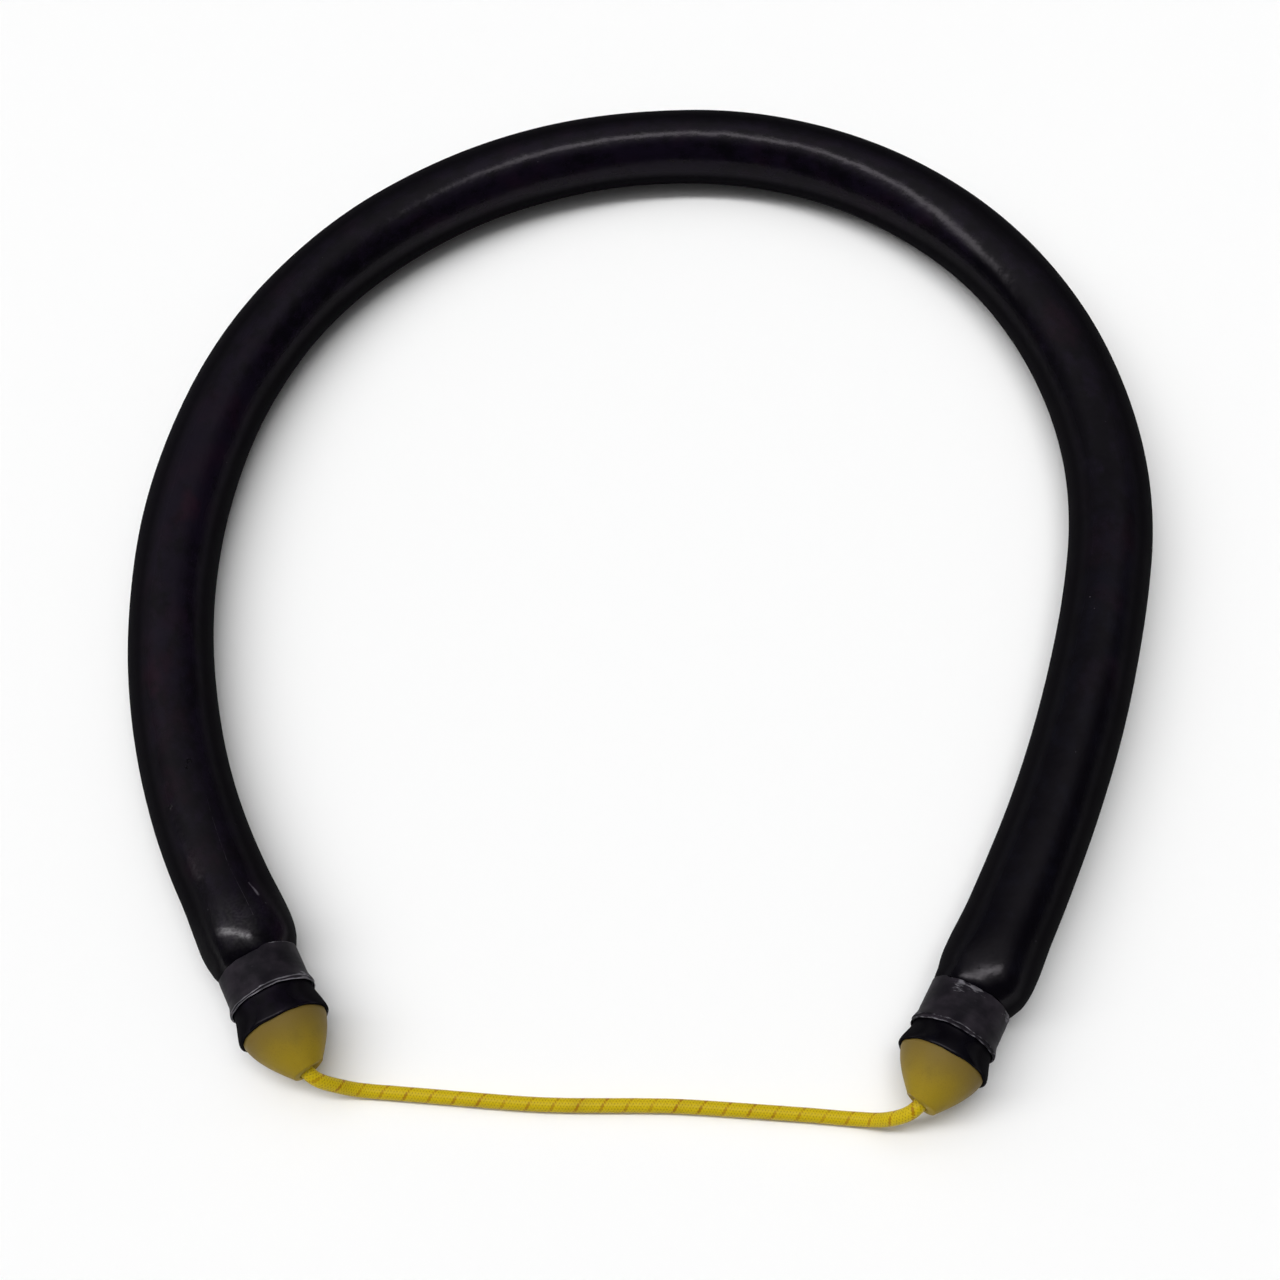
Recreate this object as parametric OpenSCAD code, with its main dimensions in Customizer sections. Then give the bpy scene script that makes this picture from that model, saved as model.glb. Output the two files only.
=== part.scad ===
// Tube resistance band: a loop of rubber tube, a moulded plug bound into each end,
// and an elastic cord bridle from plug to plug.
// Millimetres. The loop lies flat on Z = 0 with its crown toward +Y and its bridle toward -Y.

/* [Rubber tube] */
// Outside diameter of the tube
tube_d = 16; // [15:0.5:17]
// Bore of the tube
bore_d = 10; // [9.6:0.2:11]
// Height of the swelling just past each binding over the plain tube
swell_rise = 0.4; // [0.2:0.1:0.8]
// Length over which the tube swells past the binding
swell_len = 6; // [5:0.5:8]
// Outside diameter of the collar at the edge of the binding
collar_d = 14.2; // [14:0.1:14.6]
// Wall of the pared lip round the plug's rim
lip_wall = 0.6; // [0.4:0.1:1.2]
// Wall that is left under the twine in the neck
neck_wall = 1.9; // [1.6:0.1:2.2]
// Length of the straight stretch from the lip into the tube
straight_len = 30; // [27:1:40]

/* [Loop] */
// Radius of the left side at the crown
left_crown_r = 100; // [90:5:110]
// Turn of the left side at the crown, degrees
left_crown_turn = 74; // [70:1:78]
// Radius of the left shoulder
left_shoulder_r = 140; // [120:5:160]
// Turn of the left shoulder, degrees
left_shoulder_turn = 26; // [22:1:30]
// Radius of the left leg
left_leg_r = 150; // [130:5:180]
// Turn of the left leg, degrees
left_leg_turn = 17; // [14:1:20]
// Radius of the right side at the crown
right_crown_r = 80; // [75:5:90]
// Turn of the right side at the crown, degrees
right_crown_turn = 62; // [58:1:66]
// Radius of the right shoulder
right_shoulder_r = 100; // [90:5:120]
// Turn of the right shoulder, degrees
right_shoulder_turn = 39; // [35:1:42]
// Radius of the right leg
right_leg_r = 270; // [220:10:320]
// Turn of the right leg, degrees
right_leg_turn = 17; // [14:1:20]

/* [Plug] */
// Diameter of the plug's rim
head_d = 14.8; // [14.4:0.1:15]
// Length of the head inside the lip
head_len = 1.5; // [1:0.5:2]
// Length of the nose outside the lip
nose_len = 9; // [7:0.5:12]
// Diameter of the nose where the cord leaves it
nose_d = 5.6; // [5.2:0.2:6.4]
// Diameter of the groove under the twine
groove_d = 7.2; // [6.8:0.2:7.6]
// Distance from the rim to the groove
groove_at = 7.5; // [7:0.5:8]
// Length of the groove
groove_len = 4.5; // [4:0.5:4.5]
// Diameter of the barb behind the groove
barb_d = 11.5; // [11:0.5:12]
// Length of the barb
barb_len = 3; // [2:0.5:4]
// Length of the slope from the groove out to the barb
barb_rise = 2; // [1.5:0.5:2.5]
// Length of the slope behind the barb
tail_len = 3; // [2:0.5:4]
// Diameter of the plug's back face
tail_d = 9.2; // [8.8:0.2:9.6]
// Hole through the plug for the cord
cord_hole_d = 3; // [2.8:0.1:3.4]
// Width of the flared mouth that the cord bends out of
mouth_d = 4.9; // [4.6:0.1:5]
// Depth of the flared mouth
mouth_len = 3; // [2.5:0.5:4]

/* [Binding] */
// Diameter of the waxed twine
twine_d = 1; // [0.8:0.1:1.1]
// Turns of twine in the groove
twine_turns = 4; // [3:1:4]
// Spacing of the turns, a little under the twine's diameter because they are pulled tight
twine_pitch = 0.9; // [0.7:0.05:0.95]
// Thickness of the wound tape
tape_t = 0.6; // [0.4:0.1:1]
// Distance from the lip to the tape's edge
tape_at = 5.4; // [5:0.1:5.8]
// Width of the tape
tape_w = 8.3; // [7.8:0.1:8.6]

/* [Bridle cord] */
// Diameter of the cord
cord_d = 2.5; // [2:0.1:2.7]
// Diameter of the stopper knot inside the tube
knot_d = 8; // [6.5:0.5:8.5]
// Length of the stopper knot
knot_len = 6; // [5:0.5:8]
// Diameter of the knot's two ends
knot_end_d = 5; // [4:0.5:6]
// Length of the cut end past the knot
cut_end_len = 2.5; // [1:0.5:5]

/* [Hidden] */

$fn = 48;

// Gap between pieces that are pressed or wound on to each other
fit = 0.05;
// Gap between the knot and the plug's back face
knot_seat = 0.1;
// Overlap of two stretches of tube, and the step in radius that keeps their faces apart there
lap = 0.5;
step = 0.02;

tube_r = tube_d / 2;
bore_r = bore_d / 2;
bulge_r = tube_r + swell_rise;
collar_r = collar_d / 2;
head_r = head_d / 2;
nose_r = nose_d / 2;
groove_r = groove_d / 2;
barb_r = barb_d / 2;
tail_r = tail_d / 2;
cord_r = cord_d / 2;
knot_r = knot_d / 2;
knot_end_r = knot_end_d / 2;
hole_r = cord_hole_d / 2;
mouth_r = mouth_d / 2;
twine_r = twine_d / 2;

// Places along the plug's axis: 0 is the lip and the plug's rim, and + is into the tube
groove_end = groove_at + groove_len;
barb_at = groove_end + barb_rise;
barb_end = barb_at + barb_len;
plug_end = barb_end + tail_len;
tape_end = tape_at + tape_w;
bulge_at = tape_end + swell_len;

// Radii in the neck: tube, then twine, then tape
neck_r = groove_r + fit + neck_wall;
twine_ring_r = neck_r + fit + twine_r;
tape_neck_r = twine_ring_r + twine_r + fit;
tape_edge_r = collar_r + fit;

// Each side of the loop from the crown down, as [radius, turn] of one bend after another
LEFT_BENDS = [
    [left_crown_r, left_crown_turn],
    [left_shoulder_r, left_shoulder_turn],
    [left_leg_r, left_leg_turn]
];
RIGHT_BENDS = [
    [right_crown_r, right_crown_turn],
    [right_shoulder_r, right_shoulder_turn],
    [right_leg_r, right_leg_turn]
];

// Heading after the first n bends: degrees clockwise from +X
function heading(bends, n) = n == 0 ? 0 : heading(bends, n - 1) + bends[n - 1][1];

// Place after the first n bends, from the crown
function place(bends, n) =
    n == 0 ? [0, 0] :
    let (before = heading(bends, n - 1), after = heading(bends, n))
    place(bends, n - 1) + bends[n - 1][0] * [sin(after) - sin(before), cos(after) - cos(before)];

// How far the centreline reaches sideways from the crown
function reach(bends, n = 0) =
    n == len(bends) ? 0 :
    let (from = min(90, heading(bends, n)), to = min(90, heading(bends, n + 1)))
    bends[n][0] * (sin(to) - sin(from)) + reach(bends, n + 1);

// Way along the last straight stretch, toward the plug
function way_out(bends) = let (h = heading(bends, len(bends))) [cos(h), -sin(h)];

// Point on a side's last stretch, a distance past the last bend
function past_bends(bends, distance) = place(bends, len(bends)) + distance * way_out(bends);

// Lowest Y of a side's nose
function nose_low(bends) =
    past_bends(bends, straight_len + nose_len)[1] - nose_r * abs(way_out(bends)[0]);

// Crown of the centreline, placed so that the loop's box is centred on the origin
crown_x = (reach(LEFT_BENDS) - reach(RIGHT_BENDS)) / 2;
crown_y = -(tube_r + min(nose_low(LEFT_BENDS), nose_low(RIGHT_BENDS))) / 2;
axis_z = bulge_r;

// Bottoms of the two mouths, where the free cord starts, and the ways that it leaves them
mouth_at = straight_len + nose_len - mouth_len;
left_mouth = [
    crown_x - past_bends(LEFT_BENDS, mouth_at)[0],
    crown_y + past_bends(LEFT_BENDS, mouth_at)[1],
    axis_z
];
right_mouth = [
    crown_x + past_bends(RIGHT_BENDS, mouth_at)[0],
    crown_y + past_bends(RIGHT_BENDS, mouth_at)[1],
    axis_z
];
left_way = [-way_out(LEFT_BENDS)[0], way_out(LEFT_BENDS)[1], 0];
right_way = [way_out(RIGHT_BENDS)[0], way_out(RIGHT_BENDS)[1], 0];

// Route of the free cord from mouth to mouth: it bends out of each nose, drops to the floor
// and lies along it
CORD_ROUTE = [
    [-58.6, -105, 8.3],
    [-57.5, -106.1, 7.8],
    [-56.3, -106.8, 7],
    [-54.8, -107, 5.8],
    [-53, -107, 4.2],
    [-51.3, -107, 2.8],
    [-49.5, -107, 1.8],
    [-47, -107.1, 1.3],
    [-42, -107.5, 1.3],
    [-36, -108, 1.3],
    [-30, -108.5, 1.3],
    [-24, -109, 1.3],
    [-17, -109.4, 1.3],
    [-10, -109.5, 1.3],
    [-3, -109.5, 1.3],
    [4, -109.6, 1.3],
    [11, -110, 1.3],
    [18, -110.5, 1.3],
    [25, -111, 1.3],
    [31, -111.5, 1.3],
    [34, -111.8, 1.4],
    [36.6, -112.1, 1.9],
    [38.4, -112.5, 2.8],
    [40.2, -112.8, 4.3],
    [41.9, -112.9, 5.8],
    [43.4, -112.7, 7],
    [44.6, -112.1, 7.8],
    [45.7, -111, 8.3]
];
cord_sides = 8;

// Steps from one [place, radius] to the next: eased at both ends, or swelling out at once
function eased(from, to, steps = 6) =
    [for (i = [1:steps]) let (t = i / steps)
        [from[0] + (to[0] - from[0]) * t, from[1] + (to[1] - from[1]) * (1 - cos(180 * t)) / 2]];
function swollen(from, to, steps = 6) =
    [for (i = [1:steps]) let (t = i / steps)
        [from[0] + (to[0] - from[0]) * t, from[1] + (to[1] - from[1]) * sin(90 * t)]];

function flipped(points) = [for (i = [len(points) - 1:-1:0]) points[i]];

// Turns a profile of [place, radius] points round the plug's axis
module lathe(profile) {
    rotate_extrude() polygon([for (p = profile) [p[1], p[0]]]);
}

// Puts a piece at the end of a side: its Z axis runs from the lip into the tube
module at_end(bends) {
    lip = past_bends(bends, straight_len);
    translate([lip[0], lip[1], 0])
        rotate([0, 0, 180 - heading(bends, len(bends))])
            rotate([0, 90, 0]) children();
}

// Puts a side's pieces at the crown; the left side is laid out mirrored
module at_crown(left = false) {
    translate([crown_x, crown_y, axis_z]) mirror([left ? 1 : 0, 0, 0]) children();
}

module tube_bend(bends, n, shrink) {
    r = bends[n][0];
    turn = bends[n][1];
    start = heading(bends, n);
    centre = place(bends, n) - r * [sin(start), cos(start)];
    lap_turn = shrink > 0 ? lap / r * 180 / PI : 0;
    translate([centre[0], centre[1], 0])
        rotate([0, 0, 90 - start - turn - lap_turn])
            rotate_extrude(angle = turn + 2 * lap_turn)
                translate([r, 0]) difference() {
                    circle(tube_r - shrink);
                    circle(bore_r + shrink);
                }
}

// End of the tube: pared lip, neck under the binding, swelling, and the hollow that hugs the plug
module tube_end() {
    lip = [0, head_r + fit + lip_wall];
    collar = [tape_at, collar_r];
    neck = [groove_at, neck_r];
    neck_end = [groove_end, neck_r];
    shoulder = [tape_end, tape_neck_r - fit];
    bulge = [bulge_at, bulge_r];
    tube = [straight_len, tube_r - 2 * step];
    outside = concat(
        [lip], eased(lip, collar, 4), [neck, neck_end, shoulder],
        swollen(shoulder, bulge), eased(bulge, tube), [tube + [lap, 0]]
    );
    hollow = [
        [0, head_r + fit],
        [head_len + fit, head_r + fit],
        [groove_at - fit, groove_r + fit],
        [groove_end + fit, groove_r + fit],
        [barb_at, barb_r + fit],
        [barb_end, barb_r + fit],
        [plug_end, bore_r],
        [straight_len - lap, bore_r],
        [straight_len, bore_r + 2 * step],
        [straight_len + lap, bore_r + 2 * step]
    ];
    lathe(concat(outside, flipped(hollow)));
}

module tube_side(bends, first_shrink) {
    for (n = [0:len(bends) - 1])
        tube_bend(bends, n, (n % 2 == 0) == first_shrink ? step : 0);
    at_end(bends) tube_end();
}

module rubber_tube() {
    color("#121014") union() {
        at_crown() tube_side(RIGHT_BENDS, false);
        at_crown(left = true) tube_side(LEFT_BENDS, true);
    }
}

// Moulded plug: convex nose, head, groove for the twine, and a barb behind it
module plug() {
    nose = [-nose_len, nose_r];
    outside = concat(
        [nose], swollen(nose, [0, head_r], 8),
        [
            [head_len, head_r],
            [groove_at, groove_r],
            [groove_end, groove_r],
            [barb_at, barb_r],
            [barb_end, barb_r],
            [plug_end, tail_r]
        ]
    );
    hole = [
        [-nose_len, mouth_r],
        [mouth_len - nose_len, hole_r],
        [plug_end, hole_r]
    ];
    color("#9a8f4a") lathe(concat(outside, flipped(hole)));
}

// Turns of twine that clamp the tube into the plug's groove
module ligature() {
    first = groove_at + (groove_len - (twine_turns - 1) * twine_pitch) / 2;
    color("#3a352c")
        for (i = [0:twine_turns - 1])
            translate([0, 0, first + i * twine_pitch])
                rotate_extrude() translate([twine_ring_r, 0]) circle(twine_r);
}

// Tape wound over the twine and the edge of the collar
module binding_tape() {
    inside = [[tape_at, tape_edge_r], [groove_at, tape_neck_r], [tape_end, tape_neck_r]];
    color("#2a2930") lathe(concat(inside, [for (p = flipped(inside)) p + [0, tape_t]]));
}

// Cord inside the plug, and the barrel-shaped stopper knot that holds it there
module cord_end() {
    mouth_end = mouth_len - nose_len;
    knot_at = plug_end + knot_seat;
    knot_end = knot_at + knot_len;
    cut_end = knot_end + cut_end_len;
    steps = 12;
    knot = [for (i = [0:steps]) let (t = i / steps)
        [knot_at + knot_len * t, knot_end_r + (knot_r - knot_end_r) * sin(180 * t)]];
    profile = concat(
        [[mouth_end, 0], [mouth_end, cord_r], [knot_at, cord_r]],
        knot,
        [[knot_end, cord_r], [cut_end, cord_r], [cut_end, 0]]
    );
    color("#d8c81e") lathe(profile);
}

// Free cord: one tube swept from the left mouth to the right mouth
module bridle_cord() {
    path = concat([left_mouth], CORD_ROUTE, [right_mouth]);
    count = len(path);
    points = [
        for (i = [0:count - 1])
            let (
                ahead = i == 0 ? left_way : i == count - 1 ? -right_way : path[i + 1] - path[i - 1],
                side = cross(ahead, [0, 0, 1]),
                across = side / norm(side),
                up = cross(across, ahead) / norm(ahead)
            )
            for (k = [0:cord_sides - 1])
                let (turn = 360 * (k + 0.5) / cord_sides)
                path[i] + cord_r * (across * cos(turn) + up * sin(turn))
    ];
    faces = concat(
        [[for (k = [cord_sides - 1:-1:0]) k]],
        [[for (k = [0:cord_sides - 1]) (count - 1) * cord_sides + k]],
        [
            for (i = [0:count - 2], k = [0:cord_sides - 1])
                let (a = i * cord_sides + k, b = i * cord_sides + (k + 1) % cord_sides)
                [a, b, b + cord_sides, a + cord_sides]
        ]
    );
    color("#d8c81e") polyhedron(points, faces);
}

module left_plug() { at_crown(left = true) at_end(LEFT_BENDS) plug(); }
module right_plug() { at_crown() at_end(RIGHT_BENDS) plug(); }
module left_ligature() { at_crown(left = true) at_end(LEFT_BENDS) ligature(); }
module right_ligature() { at_crown() at_end(RIGHT_BENDS) ligature(); }
module left_binding_tape() { at_crown(left = true) at_end(LEFT_BENDS) binding_tape(); }
module right_binding_tape() { at_crown() at_end(RIGHT_BENDS) binding_tape(); }
module left_cord_end() { at_crown(left = true) at_end(LEFT_BENDS) cord_end(); }
module right_cord_end() { at_crown() at_end(RIGHT_BENDS) cord_end(); }

rubber_tube();
left_plug();
right_plug();
left_ligature();
right_ligature();
left_binding_tape();
right_binding_tape();
left_cord_end();
right_cord_end();
bridle_cord();
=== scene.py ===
"""Looks of the tube resistance band: a loop of rubber tube, a moulded plug bound into each end
with twine and tape, and an elastic cord bridle from plug to plug.

Metres, in the part's own frame: the loop lies flat on Z = 0, its crown toward +Y and its bridle
toward -Y. A place on the tube or a plug is given by its distance along the tube's middle line and
its angle round it: 0 is the outside of the loop and 90 degrees is the top.
"""

import logging
import math
from collections.abc import Callable, Sequence
from dataclasses import dataclass
from enum import Enum

import bpy
import numpy as np
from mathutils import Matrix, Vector


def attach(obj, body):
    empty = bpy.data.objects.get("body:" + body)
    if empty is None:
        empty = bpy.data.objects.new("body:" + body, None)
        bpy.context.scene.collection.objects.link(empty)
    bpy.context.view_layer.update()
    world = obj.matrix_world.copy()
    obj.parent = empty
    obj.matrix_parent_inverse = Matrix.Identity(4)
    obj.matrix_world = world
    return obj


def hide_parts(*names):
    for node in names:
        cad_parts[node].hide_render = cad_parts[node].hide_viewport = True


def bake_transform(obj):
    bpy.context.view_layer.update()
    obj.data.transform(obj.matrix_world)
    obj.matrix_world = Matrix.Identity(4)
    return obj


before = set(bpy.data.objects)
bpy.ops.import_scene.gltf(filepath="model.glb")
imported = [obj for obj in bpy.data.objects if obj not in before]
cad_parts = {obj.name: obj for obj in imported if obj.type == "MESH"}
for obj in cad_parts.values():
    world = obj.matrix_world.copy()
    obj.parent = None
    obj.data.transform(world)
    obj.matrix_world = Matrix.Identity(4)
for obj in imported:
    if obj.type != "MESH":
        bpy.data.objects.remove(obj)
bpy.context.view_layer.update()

log = logging.getLogger("band")

MM = 0.001
Colour = tuple[float, float, float, float]
Place = tuple[float, float, float]
Span = tuple[float, float, float, float]
Waves = tuple[tuple[float, float, float], ...]


class Body(Enum):
    """The two bodies that a piece can ride on."""

    BAND = "band"
    BRIDLE = "bridle"


class Slot(Enum):
    """The finishes that the part's record names."""

    RUBBER = "tube_rubber"
    NYLON = "plug_nylon"
    TAPE = "binding_tape"
    TWINE = "waxed_twine"
    CORD = "elastic_cord"


class Side(Enum):
    """The two ends of the tube."""

    LEFT = "left"
    RIGHT = "right"


def tone(red: float, green: float, blue: float) -> Colour:
    """A colour as the eye's 0 to 255 levels, turned into light.

    Args:
        red: Level of red.
        green: Level of green.
        blue: Level of blue.

    Returns:
        The linear colour, opaque.
    """
    levels = [c / 255 for c in (red, green, blue)]
    linear = [c / 12.92 if c <= 0.04045 else ((c + 0.055) / 1.055) ** 2.4 for c in levels]
    return (linear[0], linear[1], linear[2], 1.0)


def ease(value: np.ndarray, low: float, high: float) -> np.ndarray:
    """Rises smoothly from 0 at low to 1 at high."""
    share = np.clip((value - low) / (high - low), 0, 1)
    return share * share * (3 - 2 * share)


def window(value: np.ndarray, start: float, full: float, last: float, end: float) -> np.ndarray:
    """Rises smoothly from 0 at start to 1 at full, and falls from 1 at last to 0 at end."""
    return ease(value, start, full) * ease(-value, -end, -last)


def ripple(angles: np.ndarray, waves: Waves) -> np.ndarray:
    """A sum of waves round a circle, each with its height, its number of lobes and its start."""
    return sum(height * np.cos(times * angles + start) for height, times, start in waves)


def ring_angles(count: int, start: float = 0.0) -> np.ndarray:
    """Evenly spaced angles once round a circle."""
    return start + np.linspace(0, 2 * math.pi, count, endpoint=False)


def spokes(angles: np.ndarray) -> np.ndarray:
    """Unit offsets at these angles."""
    return np.stack([np.cos(angles), np.sin(angles)], -1)


def laid_straight(along: np.ndarray, offsets: np.ndarray) -> np.ndarray:
    """Where points would be on a piece laid straight: distance along it, then two offsets."""
    return np.concatenate([np.broadcast_to(along, offsets.shape[:-1])[..., None], offsets], -1)


def operator(operation: str, swapped: bool = False) -> Callable[["Wire", "Wire | float"], "Wire"]:
    """A Math node as a Python operator.

    Args:
        operation: What the node does.
        swapped: True where the wire is the second of the two values.

    Returns:
        A method for wires.
    """

    def apply(self: "Wire", other: "Wire | float") -> "Wire":
        """The node's result."""
        given = {0: other, 1: self} if swapped else {0: self, 1: other}
        return self.graph.node("ShaderNodeMath", {"operation": operation}, given)

    return apply


class Wire:
    """A shader socket that takes part in Python arithmetic; most is the larger of two values."""

    __add__ = operator("ADD")
    __radd__ = operator("ADD", swapped=True)
    __sub__ = operator("SUBTRACT")
    __rsub__ = operator("SUBTRACT", swapped=True)
    __mul__ = operator("MULTIPLY")
    __rmul__ = operator("MULTIPLY", swapped=True)
    most = operator("MAXIMUM")

    def __init__(self, graph: "Graph", socket: bpy.types.NodeSocket) -> None:
        """Keeps the socket and the graph that it is in."""
        self.graph = graph
        self.socket = socket

    def rise(self, low: float, high: float) -> "Wire":
        """A soft step from 0 to 1, up with the value or down.

        Args:
            low: Where it is 0.
            high: Where it is 1, on either side of low.

        Returns:
            The step.
        """
        if low > high:
            return 1 - self.rise(high, low)
        return self.graph.node(
            "ShaderNodeMapRange",
            {"interpolation_type": "SMOOTHSTEP"},
            {"Value": self, "From Min": low, "From Max": high},
        )


Given = Wire | float | Sequence[float]


class Graph:
    """The nodes of one material or of the world."""

    def __init__(self, tree: bpy.types.NodeTree) -> None:
        """Starts with an empty tree."""
        self.tree = tree
        tree.nodes.clear()

    def node(
        self,
        kind: str,
        settings: dict[str, object] | None = None,
        inputs: dict[str | int, Given] | None = None,
        output: str | int = 0,
    ) -> Wire:
        """Adds a node.

        Args:
            kind: The node's type.
            settings: Its own settings, set before its sockets.
            inputs: A number, a colour or a wire for each socket, by name or place.
            output: The socket that is wanted, by name or place.

        Returns:
            That output.
        """
        made = self.tree.nodes.new(kind)
        for name, value in (settings or {}).items():
            setattr(made, name, value)
        for name, value in (inputs or {}).items():
            if isinstance(value, Wire):
                self.tree.links.new(value.socket, made.inputs[name])
            else:
                made.inputs[name].default_value = value
        return Wire(self, made.outputs[output])

    def finish(self, kind: str, shader: Wire) -> None:
        """Ends the graph in an output of this kind that shows the shader."""
        made = self.tree.nodes.new(kind)
        self.tree.links.new(shader.socket, made.inputs["Surface"])

    def attribute(self, name: str, output: str = "Vector") -> Wire:
        """What a mesh stores at each of its points."""
        return self.node("ShaderNodeAttribute", {"attribute_name": name}, output=output)

    def unrolled(self) -> Wire:
        """Place on a skin laid flat: distance along it, and round it."""
        return self.node("ShaderNodeUVMap", {"uv_map": "unrolled"}, None, "UV")

    def part(self, vector: Wire, axis: str) -> Wire:
        """One number of a vector."""
        return self.node("ShaderNodeSeparateXYZ", None, {"Vector": vector}, axis)

    def vector(self, operation: str, first: Given, second: Given, output: str = "Vector") -> Wire:
        """A Vector Math node on two vectors."""
        given = {0: first, 1: second}
        return self.node("ShaderNodeVectorMath", {"operation": operation}, given, output)

    def mix(self, share: Given, first: Given, second: Given) -> Wire:
        """A colour that goes from the first to the second as share goes from 0 to 1."""
        given = {0: share, 6: first, 7: second}
        return self.node("ShaderNodeMix", {"data_type": "RGBA"}, given, 2)

    def noise(self, at: Wire, size: float, detail: float = 3, stretch: Place = (1, 1, 1)) -> Wire:
        """Cloudy variation.

        Args:
            at: Place in metres.
            size: Size of its clouds in metres.
            detail: How much finer variation is in them.
            stretch: How many times longer the clouds are each way.

        Returns:
            A value round 0.5.
        """
        scaled = self.vector("DIVIDE", at, tuple(size * s for s in stretch))
        given = {"Vector": scaled, "Scale": 1.0, "Detail": detail}
        return self.node("ShaderNodeTexNoise", None, given)

    def specks(self, at: Wire, spacing: float, share: float, radius: float) -> Wire:
        """Small round marks strewn over a surface.

        Args:
            at: Place in metres.
            spacing: Distance from one possible mark to the next.
            share: How many of the places have one.
            radius: Radius of a mark.

        Returns:
            1 on a mark and 0 off it.
        """
        scaled = self.vector("DIVIDE", at, (spacing, spacing, spacing))
        far, kind = (
            self.node("ShaderNodeTexVoronoi", None, {"Vector": scaled, "Scale": 1.0}, output)
            for output in ("Distance", "Color")
        )
        chosen = self.part(kind, "X").rise(1 - share, 1 - share + 0.02)
        return far.rise(radius / spacing, 0.4 * radius / spacing) * chosen

    def bump(self, height: Wire) -> Wire:
        """Turns heights in millimetres into a normal."""
        return self.node("ShaderNodeBump", None, {"Height": height, "Distance": MM}, "Normal")


def principled(graph: Graph, **inputs: Given) -> Wire:
    """A Principled shader, whose sockets are given with _ for a space in their names."""
    named = {name.replace("_", " "): value for name, value in inputs.items()}
    return graph.node("ShaderNodeBsdfPrincipled", None, named, "BSDF")


class Finish:
    """A kind of surface, which has a name and builds its own shader."""

    name: str

    def shader(self, g: Graph) -> Wire:
        """Builds the shader in a graph."""
        raise NotImplementedError

    def material(self) -> bpy.types.Material:
        """Builds the material.

        Returns:
            The material.
        """
        made = bpy.data.materials.new(self.name)
        made.use_nodes = True
        g = Graph(made.node_tree)
        g.finish("ShaderNodeOutputMaterial", self.shader(g))
        return made


@dataclass(frozen=True)
class Scratch:
    """A thin mark on the tube, by distance along it and angle round it."""

    start: tuple[float, float]
    end: tuple[float, float]
    width: float
    strength: float


@dataclass(frozen=True)
class Spot:
    """A round mark on the tube, by distance along it and angle round it."""

    at: tuple[float, float]
    radius: float
    strength: float


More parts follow.
